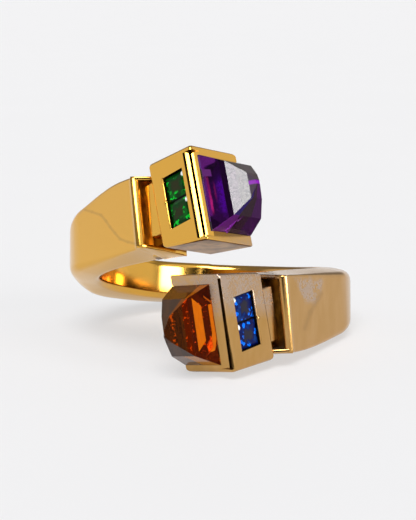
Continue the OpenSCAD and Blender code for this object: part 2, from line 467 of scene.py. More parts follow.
def high_wall(angle, top):
    """From the arm's full depth to the head's rear corner."""
    outer = arm_reach(HIGH_END) - 0.10 - 0.12 * (angle - HIGH_END)
    high = side_at(angle, top) - 0.04
    return HOLE_R, outer, high - WALL, high - WALL, high


high_angles = np.linspace(HIGH_END - 0.8, HIGH_END + 7, 12)
high_walls = [swept("high_wall", high_angles, lambda angle: high_wall(angle, top), 0.1)
              for top in (HIGH, HIGH_OTHER)]
groove_parts = [swept("low_wall", np.linspace(ARM_END - 1.2, STRIP_END, 14), low_wall, 0.1, 2.2)]
print("groove walls:", [len(g.data.polygons) for g in groove_parts + high_walls])

# %% [markdown]
# ## Frames of the head
# The head's front edge leans to the back and to its own side, so no face of the
# head is square to the ring. Its parts are drawn in small frames that sit on
# that edge: one lies on the left face, one on the open face with the tall stone.
# In them a window or a seat is a plain rectangle.

# %% the head's sizes and frames
HEAD_AT = Vector((-0.37, -15.54, 1.18))
LEAN_BACK, LEAN_SIDE = 15.6, 9.7
HEAD_LEFT, HEAD_BACK, HEAD_RIGHT = (-3.07, 2.83), (0.1, 6.4), (3.25, 3.69)
HEAD_H = 7.05
UNDER_BACK, UNDER_SIDE = -4.5, 2.0
UPPER_BACK, UPPER_SIDE = -10.1, 9.4


def turn(x=0.0, y=0.0, z=0.0):
    """A turn about X, then Y, then Z, in degrees."""
    return (Matrix.Rotation(math.radians(z), 4, "Z") @ Matrix.Rotation(math.radians(y), 4, "Y")
            @ Matrix.Rotation(math.radians(x), 4, "X"))


head_frame = Matrix.Translation(HEAD_AT) @ turn(-LEAN_BACK, -LEAN_SIDE)
left_frame = head_frame @ turn(z=math.degrees(math.atan2(HEAD_LEFT[1], HEAD_LEFT[0])))
open_frame = head_frame @ turn(z=math.degrees(math.atan2(HEAD_RIGHT[1], HEAD_RIGHT[0])))
open_w = math.hypot(*HEAD_RIGHT)
under_normal = (turn(UNDER_BACK, -UNDER_SIDE) @ Vector((0, 0, 1, 0))).to_3d()
upper_turn = turn(LEAN_BACK + UPPER_BACK, LEAN_SIDE - UPPER_SIDE)
upper_normal = head_frame.to_3x3() @ upper_turn.to_3x3() @ Vector((0, 0, 1))
upper_at = head_frame @ Vector((0, 0, HEAD_H))


def on_plane(xy, through, normal):
    """The point above a place on the head's plan where a plane cuts it."""
    p = head_frame @ Vector((xy[0], xy[1], 0))
    d = head_frame.to_3x3() @ Vector((0, 0, 1))
    return p + d * ((through - p).dot(normal) / d.dot(normal))


print("open face width:", round(open_w, 2))

# %% [markdown]
# ## The head
# The head is a block with eight corners. One Bevel modifier with a weight on
# each edge rounds them by different amounts, as on the real ring: most on the
# upper cheek's far end, least on the edges towards the finger. The upper head's
# top stands a little higher than the lower head's, so there are two blocks.

# %% a block with its own round on each edge
FRONT, RIGHT, REAR, LEFT = range(4)
EDGE_ROUND = {
    (FRONT, FRONT + 4): 0.26, (LEFT, LEFT + 4): 0.15, (RIGHT, RIGHT + 4): 0.14, (REAR, REAR + 4): 0.12,
    (FRONT, LEFT): 0.26, (FRONT, RIGHT): 0.16, (RIGHT, REAR): 0.12, (LEFT, REAR): 0.36,
    (FRONT + 4, LEFT + 4): 0.26, (FRONT + 4, RIGHT + 4): 0.20, (RIGHT + 4, REAR + 4): 0.62,
    (LEFT + 4, REAR + 4): 0.36,
}
PLAIN_ROUND = 0.12
WIDER_ABOVE = 1.015                    # the left corner's reach at the top
TALLER = 0.15                          # the upper head's extra height


def solid(name, verts, faces):
    """A closed block from its corners and faces."""
    bm = bmesh.new()
    vs = [bm.verts.new(v) for v in verts]
    for f in faces:
        bm.faces.new([vs[i] for i in f])
    return mesh_object(name, bm)


def applied(obj):
    """The object with its modifiers worked into a plain mesh."""
    deps = bpy.context.evaluated_depsgraph_get()
    mesh = bpy.data.meshes.new_from_object(obj.evaluated_get(deps))
    old = obj.data
    obj.modifiers.clear()
    obj.data = mesh
    bpy.data.meshes.remove(old)
    return obj


low_plan = [(0, 0), HEAD_RIGHT, HEAD_BACK, HEAD_LEFT]
high_plan = [(0, 0), HEAD_RIGHT, HEAD_BACK, (HEAD_LEFT[0] * WIDER_ABOVE, HEAD_LEFT[1] * WIDER_ABOVE)]
low = [on_plane(p, HEAD_AT, under_normal) for p in low_plan]
high = [on_plane(p, upper_at, upper_normal) for p in high_plan]
block_faces = [(3, 2, 1, 0), (4, 5, 6, 7), (0, 1, 5, 4), (1, 2, 6, 5), (2, 3, 7, 6), (3, 0, 4, 7)]


def rounded_block(name, taller):
    """A head's block, its top raised by so much."""
    raised = [p + head_frame.to_3x3() @ Vector((0, 0, taller)) for p in high]
    block = solid(name, low + raised, block_faces)
    weights = block.data.attributes.new("bevel_weight_edge", "FLOAT", "EDGE")
    for e in block.data.edges:
        key = tuple(sorted(e.vertices))
        weights.data[e.index].value = EDGE_ROUND.get(key, EDGE_ROUND.get((key[1], key[0]), PLAIN_ROUND))
    soften = block.modifiers.new("soften", "BEVEL")
    soften.width, soften.segments, soften.limit_method = 1.0, 4, "WEIGHT"
    return applied(block)


heads = [rounded_block("first_head_a", TALLER), rounded_block("first_head_b", 0.0)]
print("rounded blocks:", [len(h.data.polygons) for h in heads], "faces")

# %% [markdown]
# ## Sizes of the cuts
# The seat of the tall stone leaves a thin cheek below and above it, and a bar
# at the front. The bar is where the two heads differ most: its edge carries a
# fine ridge, a flute and a broad polished band, whose slopes decide whether it
# mirrors a lamp or the dark. So each head's bar is a profile on the head's plan,
# with X to the right of the front edge and Y to the back.

# %% seat, window and bar
BAR_W = 0.65
CHEEK_LOW, CHEEK_HIGH, CHEEK_RISE = 0.70, 0.55, 0.075
SEAT_DEPTH = 2.3
WIN_X, WIN_Z, SQUARE_W, WIN_DEPTH = 1.12, 1.96, 1.96, 1.15
OUTSIDE = [(0.95, 0.20), (0.0, -0.60), (-0.95, 0.20)]
UPPER_BAR = [
    (-0.60, 0.552), (-0.52, 0.508), (-0.43, 0.458), (-0.18, 0.447),      # ridge and first bright line
    (-0.08, 0.680), (0.02, 0.495),                                      # flute
    (0.22, 0.500), (0.57, 0.648),                                        # second bright line and bar
] + OUTSIDE
LOWER_BAR = [
    (-0.16, 0.147), (-0.09, 0.105), (-0.01, 0.105),                      # fine ridge at the front edge
    (0.04, 0.480), (0.10, 0.720), (0.21, 0.590), (0.80, 0.908),          # flute and bar
] + OUTSIDE
BAR_SLIP = [0.0, -0.15]                # upper and lower head: the flute's foot, along the open face
BAR_HEIGHTS = (0.36, HEAD_H - 0.20)
# spans of the fine lines painted with shade on each head
PAINTED_SHADE_SPANS = [[(-0.59, -0.42), (-0.18, 0.02)], [(-0.10, 0.10)]]         # in X, upper and lower head
SEAT_SHIFT = [(0.04, 0.04), (0.35, 0.50)]                               # bar's extra width, low and high
print("window:", round(SQUARE_W, 2), "by", round(2 * SQUARE_W, 2))

# %% [markdown]
# ## Cutters
# Cutters are simple closed shapes, and the exact Boolean keeps the rounded edges
# of the block as they are. Modelling the openings in the block itself would mean
# planning every vertex round them.

# %% cutters' shapes
def prism(name, outline, matrix, y0, y1):
    """An outline in X and Z, pushed through from y0 to y1."""
    n = len(outline)
    pts = [matrix @ Vector((x, y, z)) for y in (y0, y1) for x, z in outline]
    faces = [tuple(range(n)), tuple(range(2 * n - 1, n - 1, -1))]
    faces += [(i, i + n, (i + 1) % n + n, (i + 1) % n) for i in range(n)]
    return solid(name, pts, faces)


def standing_prism(name, outline, z0, z1, slip):
    """An outline on the head's plan, drawn up between two heights; its foot may stand aside."""
    rise = HEAD_RIGHT[1] / HEAD_RIGHT[0]
    return skin_mesh(name, [[head_frame @ Vector((x + aside, y + aside * rise, z)) for x, y in outline]
                            for z, aside in ((z0, slip), (z1, 0.0))])


def turned_piece(name, matrix, rows, sides):
    """A round piece along Z of the matrix, from rows of height and radius."""
    angles = [math.tau * k / sides for k in range(sides)]
    return skin_mesh(name, [[matrix @ Vector((r * math.cos(a), r * math.sin(a), z)) for a in angles]
                            for z, r in rows])


def cut(obj, cutter):
    """Take the cutter out of the piece, and remove it."""
    mod = obj.modifiers.new("cut", "BOOLEAN")
    mod.operation, mod.solver, mod.object = "DIFFERENCE", "EXACT", cutter
    applied(obj)
    bpy.data.objects.remove(cutter)


print("bar profiles:", len(UPPER_BAR), "and", len(LOWER_BAR), "points")

# %% [markdown]
# ## Cuts in the head
# Four cuts shape each head: the seat runs out past its far side, the window is
# a shallow pocket, the bar's profile is shaved down the front edge, and the
# round of the finger takes a little from the back.

# %% cut both heads
FINGER_ROWS = [(-15, HOLE_R), (15, HOLE_R)]


def seat_outline(shift):
    """The seat on the open face; its front side may stand aslant."""
    far_x = open_w + 2
    x0, x1 = BAR_W + shift[0], BAR_W + shift[1]
    low_z, high_z = CHEEK_LOW, HEAD_H - CHEEK_HIGH
    return [(x0, low_z + CHEEK_RISE * x0), (far_x, low_z + CHEEK_RISE * far_x),
            (far_x, high_z + CHEEK_RISE * far_x), (x1, high_z + CHEEK_RISE * x1)]


win_x, win_z = WIN_X + SQUARE_W, WIN_Z + 2 * SQUARE_W
window = [(WIN_X, WIN_Z), (win_x, WIN_Z), (win_x, win_z), (WIN_X, win_z)]
for head, bar, slip, shift in zip(heads, (UPPER_BAR, LOWER_BAR), BAR_SLIP, SEAT_SHIFT):
    cut(head, prism("seat", seat_outline(shift), open_frame, -6, SEAT_DEPTH))
    cut(head, prism("window", window, left_frame, -WIN_DEPTH, 1))
    cut(head, standing_prism("bar_cutter", bar, *BAR_HEIGHTS, slip))
    cut(head, turned_piece("finger", Matrix.Identity(4), FINGER_ROWS, 180))
print("heads after their cuts:", [len(h.data.polygons) for h in heads])

# %% [markdown]
# ## The neck
# Beside the window face stands a narrow upright plate, a little lower than the
# face itself. It joins the head to the arm, and its ends stop short of the
# pocket's walls. A plain prism with a small bevel gives it. The pocket's floor
# is another prism, set deeper behind it.

# %% the neck and the pocket's floor
NECK = [(3.7, 2.2), (5.22, 2.2), (5.12, 6.15), (3.7, 6.15)]        # in X and Z of the left face
GROOVE_FLOOR = [(3.7, 2.0), (6.3, 2.0), (6.3, 6.3), (3.7, 6.1)]

neck = prism("neck", NECK, left_frame, -3.0, -0.14)
soften = neck.modifiers.new("soften", "BEVEL")
soften.width, soften.segments, soften.limit_method = 0.11, 4, "ANGLE"
applied(neck)
groove_parts.append(prism("groove_floor", GROOVE_FLOOR, left_frame, -3.4, -1.35))
print("neck:", len(neck.data.polygons), "faces")

# %% [markdown]
# ## The window's rim
# On the arm's side the window has a fine raised rim, which holds the two stones
# with one small claw at its middle. Both are round pieces with tapered ends, so
# a few rows of height and radius describe them.

# %% rim and claw
RIM_R, RIM_LOW, RIM_HIGH = 0.085, -0.05, 2 * SQUARE_W + 0.08
RIM = [
    (RIM_LOW, 0.02), (RIM_LOW + 0.045, RIM_R * 0.6), (RIM_LOW + 0.15, RIM_R),
    (RIM_HIGH - 0.15, RIM_R), (RIM_HIGH - 0.045, RIM_R * 0.6), (RIM_HIGH, 0.02),
]
CLAW = [(-0.34, 0.02), (-0.24, 0.05), (-0.06, 0.17), (0.06, 0.17), (0.24, 0.05), (0.34, 0.02)]

rim_at = left_frame @ Matrix.Translation((win_x + 0.02, -0.01, WIN_Z))
claw_at = left_frame @ Matrix.Translation((win_x + 0.05, 0.01, WIN_Z + 1.04 * SQUARE_W))
rim = turned_piece("rim", rim_at, RIM, 10)
claw = turned_piece("claw", claw_at, CLAW, 10)
print("rim and claw:", len(rim.data.polygons) + len(claw.data.polygons), "faces")


# %% [markdown]
# ## Stones
# A step-cut stone is a stack of rectangles, one for each step of its cut: a foot
# under the seat, the girdle, two broad steps and a small table. Cutting planes
# off a block would give the same facets, but the stack keeps every facet's
# number known, which the finishes need later.

# %% the stones' steps
GAP = 0.03                             # between a stone and its seat
TALL_STEPS = [
    # height, inset from the bar, from the far end, from below, from above
    (-2.20, 1.90, 1.90, 2.55, 2.55),
    (-1.75, 1.35, 1.35, 1.85, 1.85),
    (-1.10, 0.72, 0.72, 0.95, 0.95),
    (-0.30, 0.00, 0.00, 0.00, 0.00),
    (0.05, 0.00, 0.00, 0.00, 0.00),
    (1.80, 0.46, 0.75, 0.50, 1.15),
    (2.85, 1.35, 1.60, 1.45, 2.40),
    (3.20, 1.75, 1.95, 2.35, 3.00),
]
SQUARE_STEPS = [(-0.90, 0.85), (-0.55, 0.45), (-0.20, 0.0), (-0.10, 0.0), (0.0, 0.28)]   # height, inset
SQUARE_SUNK = 0.12                     # how deep the square stones lie in the window


def stepped(name, rows, w, h, matrix, rise=0.0, shift=(0.0, 0.0)):
    """A stack of rectangles along -Y of the matrix; the bar side may stand aslant."""
    rings = []
    for up, bar, end, below, above in rows:
        x0, x1 = bar + shift[0], bar + shift[1]
        corners = [(x1, h - above), (w - end, h - above), (w - end, below), (x0, below)]
        rings.append([matrix @ Vector((x, -up, z + rise * x)) for x, z in corners])
    return skin_mesh(name, rings)


tall_frame = open_frame @ Matrix.Translation((BAR_W + GAP, 0, CHEEK_LOW + GAP + CHEEK_RISE * BAR_W))
tall_w, tall_h = open_w - BAR_W - 0.15, HEAD_H - CHEEK_LOW - CHEEK_HIGH - 2 * GAP
talls = [stepped("tall_stone", TALL_STEPS, tall_w, tall_h, tall_frame, CHEEK_RISE, shift)
         for shift in SEAT_SHIFT]
squares = []
for row in (0, 1):
    corner = Matrix.Translation((WIN_X + GAP, -SQUARE_SUNK, WIN_Z + GAP + row * SQUARE_W))
    w = SQUARE_W - 2 * GAP
    place = left_frame @ corner @ turn(z=180) @ Matrix.Translation((-w, 0, 0))
    squares.append(stepped("square_stone", [(u, i, i, i, i) for u, i in SQUARE_STEPS], w, w, place))
print("stones:", len(talls) + len(squares))


# %% [markdown]
# ## The twin
# Nearly everything on this ring comes in pairs, the second piece being the first
# turned half round about the front-to-back line. Each pair could be typed twice.
# A small Geometry Nodes tree does it for all of them: it turns the piece, keeps
# or drops the first one, and gives the result its material.

# %% a tree that turns a twin
def twin_tree(material):
    """The tree, and the identifier of its switch."""
    tree = bpy.data.node_groups.new("turned_twin", "GeometryNodeTree")
    tree.interface.new_socket("Geometry", in_out="INPUT", socket_type="NodeSocketGeometry")
    half = tree.interface.new_socket("Turn", in_out="INPUT", socket_type="NodeSocketFloat")
    half.default_value = math.pi
    keep = tree.interface.new_socket("Keep first", in_out="INPUT", socket_type="NodeSocketBool")
    keep.default_value = True
    tree.interface.new_socket("Geometry", in_out="OUTPUT", socket_type="NodeSocketGeometry")
    start = tree.nodes.new("NodeGroupInput")
    end = tree.nodes.new("NodeGroupOutput")
    turned_copy = tree.nodes.new("GeometryNodeTransform")
    about = tree.nodes.new("ShaderNodeCombineXYZ")
    choose = tree.nodes.new("GeometryNodeSwitch")
    choose.input_type = "GEOMETRY"
    join = tree.nodes.new("GeometryNodeJoinGeometry")
    real = tree.nodes.new("GeometryNodeRealizeInstances")
    dress = tree.nodes.new("GeometryNodeSetMaterial")
    dress.inputs["Material"].default_value = material
    link = tree.links.new
    link(start.outputs["Turn"], about.inputs["Y"])
    link(about.outputs[0], turned_copy.inputs["Rotation"])
    link(start.outputs["Geometry"], turned_copy.inputs["Geometry"])
    link(start.outputs["Keep first"], choose.inputs["Switch"])
    link(start.outputs["Geometry"], choose.inputs["True"])
    link(turned_copy.outputs[0], join.inputs[0])
    link(choose.outputs[0], join.inputs[0])
    link(join.outputs[0], real.inputs[0])
    link(real.outputs[0], dress.inputs["Geometry"])
    link(dress.outputs[0], end.inputs[0])
    return tree, keep.identifier


def paired(obj, name, material, keep_first=True):
    """A plain mesh of the piece and its turned twin, or of the twin alone."""
    tree, keep_id = twin_tree(material)
    copy = bpy.data.objects.new(name, obj.data.copy())
    bpy.context.scene.collection.objects.link(copy)
    mod = copy.modifiers.new("turned_twin", "NODES")
    mod.node_group = tree
    mod[keep_id] = keep_first
    return applied(copy)


print("twin tree ready")

# %% [markdown]
# ## Shader maths
# A finish is a sum of masks, and a sum is far easier to read as an expression
# than as a chain of nodes. One small class wraps a socket, so that adding or
# multiplying two of them adds the Math node that does it.

# %% a class for shader maths
class S:
    """A socket in a material's tree, with sums written as on paper."""

    def __init__(self, tree, socket):
        self.tree, self.socket = tree, socket

    def node(self, kind, settings=None, out=0, **values):
        """A node of any kind: its settings, then its inputs by name, or as i0, i1 and so on."""
        made = self.tree.nodes.new(kind)
        for key, value in (settings or {}).items():
            setattr(made, key, value)
        for key, value in values.items():
            numbered = key[0] == "i" and key[1:].isdigit()
            target = made.inputs[int(key[1:]) if numbered else key.replace("_", " ")]
            if isinstance(value, S):
                self.tree.links.new(value.socket, target)
            else:
                target.default_value = value
        return S(self.tree, made.outputs[out])

    def maths(self, operation, a, b=0.0, clamp=False):
        return self.node("ShaderNodeMath", {"operation": operation, "use_clamp": clamp}, i0=a, i1=b)

    def __add__(self, o): return self.maths("ADD", self, o)
    def __radd__(self, o): return self.maths("ADD", o, self)
    def __sub__(self, o): return self.maths("SUBTRACT", self, o)
    def __rsub__(self, o): return self.maths("SUBTRACT", o, self)
    def __mul__(self, o): return self.maths("MULTIPLY", self, o)
    def __rmul__(self, o): return self.maths("MULTIPLY", o, self)
    def __neg__(self): return self.maths("MULTIPLY", self, -1.0)
    def __abs__(self): return self.maths("ABSOLUTE", self)
    def power(self, o): return self.maths("POWER", self, o)
    def larger(self, o): return self.maths("MAXIMUM", self, o)
    def smaller(self, o): return self.maths("MINIMUM", self, o)
    def clamped(self): return self.maths("ADD", self, 0.0, clamp=True)

    def spread(self, lo, hi):
        """0 below lo, 1 above hi, smooth between."""
        return self.node("ShaderNodeMapRange", {"interpolation_type": "SMOOTHSTEP"}, Value=self,
                         From_Min=lo, From_Max=hi, To_Min=0.0, To_Max=1.0)

    def noise(self, scale, detail, **more):
        """A cloud of values about 0.5, read at this place."""
        return self.node("ShaderNodeTexNoise", {"noise_dimensions": "3D"}, Vector=self, Scale=scale,
                         Detail=detail, **more)


print("shader maths ready")

# %% [markdown]
# ## Starting a finish
# Every finish starts from the Principled shader and the Object coordinates,
# because a pattern on those stays with the piece in any view. Values that are
# the same all over a piece are set on the shader's own sockets. Colours are
# mixed by a Mix node, since a Math node would turn them grey.

# %% materials, mixes and links
def mixed(root, share, a, b):
    """Colour a turning into colour b as the share goes from 0 to 1."""
    made = root.tree.nodes.new("ShaderNodeMix")
    made.data_type = "RGBA"
    made.clamp_factor = True
    for name, value in (("Factor", share), ("A", a), ("B", b)):
        target = [i for i in made.inputs if i.name == name and (name == "Factor" or i.type == "RGBA")][0]
        if isinstance(value, S):
            root.tree.links.new(value.socket, target)
        else:
            target.default_value = value
    return S(root.tree, [o for o in made.outputs if o.type == "RGBA"][0])


def new_material(name, **plain):
    """A material, its shader and the place on the piece."""
    mat = bpy.data.materials.new(name)
    mat.use_nodes = True
    shader = mat.node_tree.nodes["Principled BSDF"]
    for key, value in plain.items():
        shader.inputs[key.replace("_", " ")].default_value = value
    coords = mat.node_tree.nodes.new("ShaderNodeTexCoord")
    return mat, shader, S(mat.node_tree, coords.outputs["Object"])


def wire(owner, value, socket):
    """Link a worked-out value to a shader's socket."""
    owner.node_tree.links.new(value.socket, socket)


print("material helpers ready")

# %% [markdown]
# ## Places on a piece
# Wear and reflections sit at certain places of the ring, so a mask needs to know
# where it is. The finished meshes lie on the table in metres, and a dot product
# with each row of the inverse matrix gives back the place in a drawing frame, in
# millimetres.

# %% places and masks
def place_mm(root, matrix):
    """X, Y and Z of a drawing frame, in millimetres, from the laid piece's place."""
    inv = matrix.inverted()
    out = []
    for row in range(3):
        dot = root.node("ShaderNodeVectorMath", {"operation": "DOT_PRODUCT"}, out=1, i0=root,
                        i1=tuple(inv[row][:3]))
        out.append(dot + inv[row][3])
    return out


def between(value, lo, hi, soft=0.03):
    """1 from lo to hi, 0 outside."""
    return value.spread(lo - soft, lo + soft) * (1.0 - value.spread(hi - soft, hi + soft))


def near_line(x, z, a, b, width):
    """1 on the straight line from a to b, 0 farther from it than the width."""
    dx, dz = b[0] - a[0], b[1] - a[1]
    length = math.hypot(dx, dz)
    along = (x - a[0]) * (dx / length) + (z - a[1]) * (dz / length)
    past = along - along.larger(0.0).smaller(length)
    across = (x - a[0]) * (-dz / length) + (z - a[1]) * (dx / length)
    return 1.0 - (past * past + across * across).power(0.5).spread(0.0, width)


def drawn_line(x, z, points, width):
    """1 on a line through all the points."""
    parts = [near_line(x, z, a, b, width) for a, b in zip(points, points[1:])]
    return sum(parts[1:], parts[0]).clamped()


print("masks ready")

# %% [markdown]
# ## Gold
# Yellow gold colours what it mirrors, so one metal with one colour would make
# both arms alike. The lower arm and head get a paler, darker gold and a rougher
# polish, with faint grey clouds that are partly dust and partly a painted
# reflection of the grey room, and each arm gets one fine dark line, a painted
# reflection of an edge of the room. The colour and the roughness change with the place
# on the ring.

# %% where the gold changes
GOLD_RICH = (0.735, 0.405, 0.070, 1)
GOLD_PALE = (0.49, 0.275, 0.082, 1)
# the next colour is partly dust and partly a painted reflection of the grey room
GOLD_DUST_AND_GREY_REFLECTION = (0.47, 0.35, 0.265, 1)
GOLD_PINK = (0.60, 0.36, 0.155, 1)
# the next colour and the two lines after it: a painted reflection of a dark edge of the room
GOLD_EDGE_REFLECTION = (0.30, 0.17, 0.06, 1)
UPPER_EDGE_REFLECTION = [(-9.43, 4.5), (-8.84, 4.24), (-8.1, 3.87), (-7.69, 3.35), (-7.37, 2.86), (-6.97, 2.35),
              (-6.57, 1.85), (-5.95, 1.53), (-5.27, 1.28)]     # in X and Z of the first arm
LOWER_EDGE_REFLECTION = [(-8.15, 1.9), (-7.2, 3.4), (-6.75, 4.6)]         # in X and Z of the turned arm

gold, gold_shader, at = new_material("polished_gold", Metallic=1.0, Roughness=0.16)
ux, uy, uz = place_mm(at, laid)
lx, _, lz = place_mm(at, laid @ half_turn)
cloud = at.noise(450.0, 4.0, Roughness=0.6)
fine = at.noise(2600.0, 3.0)
speck = at.noise(5200.0, 3.0, Roughness=0.7)
stripe = at.node("ShaderNodeCombineXYZ", X=ux * 1.1, Y=uy * 1.1, Z=uz * 0.35).noise(1.0, 2.0)

# 1 on the lower arm, on the front of the ring, and outside the finger hole
on_lower = (ux * 0.1 - uz * 0.2 + (cloud - 0.5) * 0.25).spread(-0.35, 0.35)
front = (-uy).spread(-2.0, 4.0)
outer = (ux * ux + uy * uy).power(0.5).spread(8.6, 9.0)
print("gold's places ready")

# %% [markdown]
# The grey clouds, partly dust and partly a painted reflection of the grey room,
# are a slanting patch near the end of the lower arm and a broad one on the lower
# head. Each is a box with soft sides, whose edge a noise makes ragged and a finer
# noise breaks into specks.

# %% the clouds on the lower arm and head
down = lz - 1.05                                               # height above the lower edge
near_side = (-lx - 5.95 - down * 0.5 + (cloud - 0.5) * 1.6).spread(-0.25, 0.25)
far_side = (lx + 8.25 - down * 0.38 + (cloud - 0.5) * 1.6).spread(-0.25, 0.25)
arm_dust_and_reflection = near_side * far_side * between(down + (cloud - 0.5) * 1.3, 0.0, 1.7, 0.25)
arm_dust_and_reflection = arm_dust_and_reflection * (speck + (cloud - 0.5) * 0.6).spread(0.43, 0.52)

head_low = 1.0 - (lz + (cloud - 0.5) * 2.4).spread(2.7, 4.5)
head_dust_and_reflection = (lx + 4.9).spread(0.0, 0.7) * head_low * (1.0 - lx.spread(4.2, 5.0))
head_dust_and_reflection = head_dust_and_reflection * (0.45 + (speck + (cloud - 0.5) * 0.8).spread(0.38, 0.55) * 0.55)
# the grey clouds: partly dust, partly a painted reflection of the grey room
dust_and_grey_reflection = (arm_dust_and_reflection * 0.9 + head_dust_and_reflection).clamped() * on_lower * front * outer
print("clouds ready")

# %% [markdown]
# The layers are laid over each other like thin washes. The polish itself is a
# very shallow bump, only enough to soften the mirrored lamps.

# %% the polished gold
# each arm's fine dark line is a painted reflection of an edge of the room
upper_painted_reflection = drawn_line(ux, uz, UPPER_EDGE_REFLECTION, 0.16) * 0.30 * (1.0 - on_lower)
lower_painted_reflection = drawn_line(lx, lz, LOWER_EDGE_REFLECTION, 0.30) * 0.32 * on_lower
soft_stripes = (stripe - 0.5).spread(-0.2, 0.2) * on_lower * 0.35

tone = mixed(at, on_lower, GOLD_RICH, GOLD_PALE)
tone = mixed(at, soft_stripes, tone, GOLD_PINK)
tone = mixed(at, dust_and_grey_reflection, tone, GOLD_DUST_AND_GREY_REFLECTION)
tone = mixed(at, (upper_painted_reflection + lower_painted_reflection) * front, tone, GOLD_EDGE_REFLECTION)
wire(gold, tone, gold_shader.inputs["Base Color"])
wire(gold, 0.12 + (cloud - 0.5) * 0.10 + on_lower * 0.05 + dust_and_grey_reflection * 0.12, gold_shader.inputs["Roughness"])
bump = at.node("ShaderNodeBump", Height=fine, Strength=0.03, Distance=0.00002)
wire(gold, bump, gold_shader.inputs["Normal"])
print("polished gold:", len(gold.node_tree.nodes), "nodes")


# %% [markdown]
# ## Gold painted with shade
# The seats, the fine lines, the pocket and the faces between the two heads lie in
# shade, and that shade is painted into the metal's colour. The same metal with one
# grainy mix of two darker colours and more roughness stands for each of them.

# %% gold painted with shade
def shade_painted_gold(name, dark, light, rough):
    """Gold painted with shade: a grainy mix of two colours."""
    mat, shader, where = new_material(name, Metallic=1.0, Roughness=rough)
    shade_grain = where.noise(900.0, 3.0)
    wire(mat, mixed(where, shade_grain.spread(0.3, 0.7), dark + (1,), light + (1,)), shader.inputs["Base Color"])
    return mat


# painted shade: in the seats, in the fine lines, between the heads and in the pocket
seat_shade = shade_painted_gold("shaded_seat", (0.02, 0.012, 0.006), (0.07, 0.04, 0.015), 0.45)
painted_line_shade = shade_painted_gold("painted_shade_strip", (0.05, 0.028, 0.008), (0.24, 0.14, 0.04), 0.4)
painted_deep_shade = shade_painted_gold("painted_deep_shade_strip", (0.005, 0.0025, 0.0008), (0.035, 0.018, 0.004), 0.35)
between_heads_shade = shade_painted_gold("painted_shade_between_heads", (0.20, 0.085, 0.012), (0.52, 0.29, 0.10), 0.30)
pocket_shade_gold = shade_painted_gold("pocket_shade_gold", (0.16, 0.06, 0.006), (0.80, 0.46, 0.07), 0.34)
print("dull gold made")

# %% [markdown]
# ## The hidden sides of the tall stones
# The stones are clear and deeply coloured. Their feet and far sides get a plain
# glassy finish with a cloud in its colour.

# %% the stones' plain finish
STONE_IOR = 1.55


def clear_stone(name, colour, veil):
    """Clear stone; the veil is how much darker its cloud is."""
    mat, shader, where = new_material(name, Roughness=0.0, IOR=STONE_IOR, Transmission_Weight=1.0)
    shader.inputs["Specular Tint"].default_value = (1, 1, 1, 1)
    dark = tuple(c * veil for c in colour) + (1,)
    tone = mixed(where, where.noise(700.0, 2.0).spread(0.35, 0.65), dark, colour + (1,))
    wire(mat, tone, shader.inputs["Base Color"])
    return mat


amethyst = clear_stone("amethyst", (0.09, 0.005, 0.20), 0.6)
citrine = clear_stone("citrine", (0.55, 0.10, 0.002), 0.5)
print("plain stone finishes made")

# %% [markdown]
# ## Facets
# A step-cut stone shows its own back facets as long bands that run along its
# steps, and each facet shows something else. A fully clear stone would show them
# by itself, but only if its hidden cut were known. So each facet that the
# photograph shows gets its own finish: part clear, part painted, with the bands
# drawn in the stone's own frame. "up" is the height above the seat, "z" the way
# along the stone and "x" the way across it. Where a facet hardly mirrors the
# room, its specular level is low.

# %% a finish for one facet
AMETHYST_AT = laid @ tall_frame
CITRINE_AT = laid @ half_turn @ tall_frame
MIRROR, HARDLY = 0.5, 0.04                       # specular levels


def local_mm(root, matrix):
    """X, outward and Z of a drawing frame."""
    x, y, z = place_mm(root, matrix)
    return x, -y, z


def painted(root, ground, layers):
    """Colours laid over each other, each where its mask is 1."""
    tone = ground + (1,)
    for mask, colour in layers:
        tone = mixed(root, mask, tone, colour + (1,))
    return tone


def facet(name, frame_at, glint, clear, paint):
    """A finish of one facet: the tint of what it mirrors, its clear share and its paint, which holds painted
    reflections and shade.
    """
    mat, shader, where = new_material(name, Roughness=0.0, IOR=STONE_IOR, Transmission_Weight=clear)
    shader.inputs["Specular Tint"].default_value = (glint, glint, glint, 1)
    shader.inputs["Specular IOR Level"].default_value = MIRROR if glint == 1.0 else HARDLY
    x, up, z = local_mm(where, frame_at)
    z = z - CHEEK_RISE * x
    streaks = where.node("ShaderNodeCombineXYZ", X=x * 7.0, Y=up * 7.0, Z=z * 1.3).noise(1.0, 3.0)
    specks = where.noise(5000.0, 2.0)
    ground, layers = paint(x, up, z, streaks, specks)
    wire(mat, painted(where, ground, layers), shader.inputs["Base Color"])
    return mat


print("facet helper ready")

# %% [markdown]
# ## The purple stone's facets
# The long side facet shows rose and violet-blue bands, painted reflections of its
# back facets, behind a dark, speckled veil. The main facet mirrors a lamp, so it
# is nearly black under a strong reflection, with grey specks painted in as that
# reflection's grain. The lower facets are dark with lighter purple wedges, which
# are painted reflections too.

